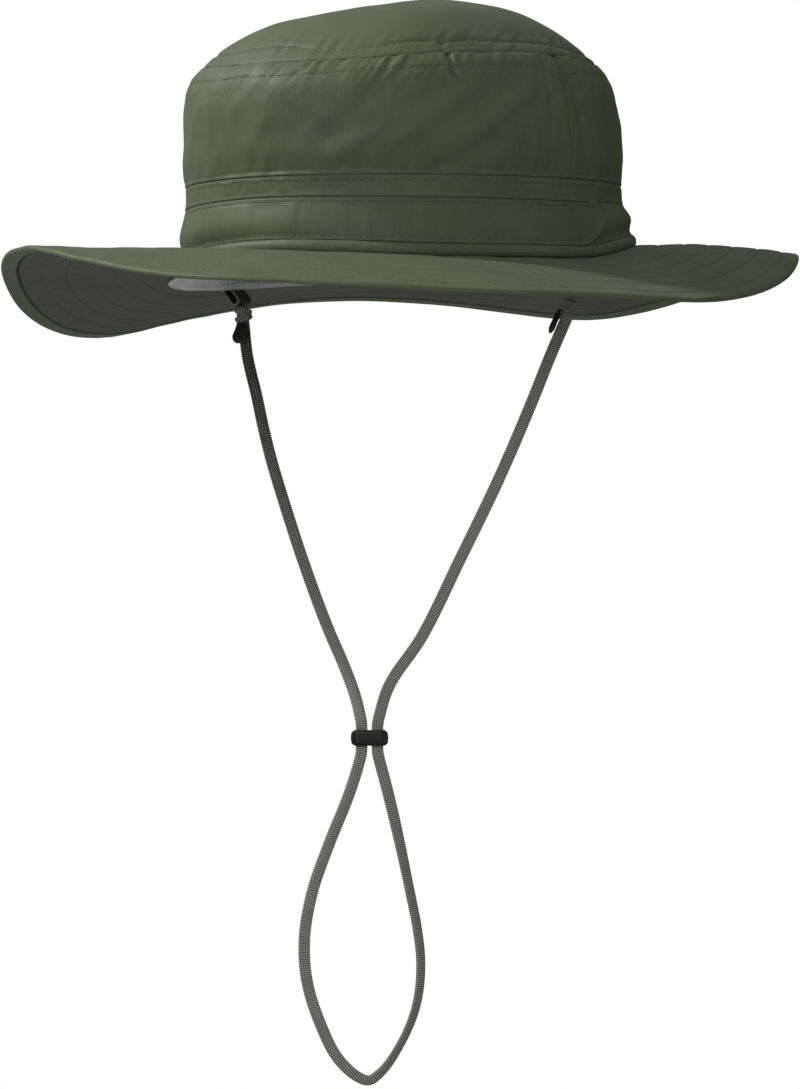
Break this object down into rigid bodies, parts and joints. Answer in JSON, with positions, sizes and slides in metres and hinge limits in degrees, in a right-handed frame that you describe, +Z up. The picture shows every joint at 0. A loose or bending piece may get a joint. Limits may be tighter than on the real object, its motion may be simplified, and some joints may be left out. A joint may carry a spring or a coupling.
{
  "type": "sun hat",
  "caption": "Olive woven nylon sun hat with a wide stitched wavy brim, dark underside, grey sweatband and a flat chin cord with a two-hole toggle.",
  "frame": {"origin": "middle of the head opening, level with the joint between crown and brim", "axes": "+Z up through the crown, +X towards the wearer's left, -Y towards the front of the hat"},
  "size_m": [0.3174, 0.3434, 0.4435],
  "materials": {
    "olive woven nylon": "matte",
    "dark grey lining": "matte",
    "light grey knit": "matte",
    "black webbing": "satin",
    "grey braided cord": "matte",
    "black moulded plastic": "satin"
  },
  "bodies": {
    "root": {"crown_tip": "olive woven nylon", "crown_side_front": "olive woven nylon", "crown_side_back": "olive woven nylon", "crown_tape": "olive woven nylon", "band_front": "olive woven nylon", "band_back": "olive woven nylon", "crown_welt": "olive woven nylon", "brim": "olive woven nylon", "brim_lining": "dark grey lining", "sweatband": "light grey knit", "webbing_loop_right": "black webbing", "webbing_loop_left": "black webbing", "cord_knot_right": "grey braided cord", "cord_knot_left": "grey braided cord", "cord_end_right": "black webbing", "cord_end_left": "black webbing", "cord_toggle": "black moulded plastic", "chin_cord": "grey braided cord"}
  },
  "joints": []
}
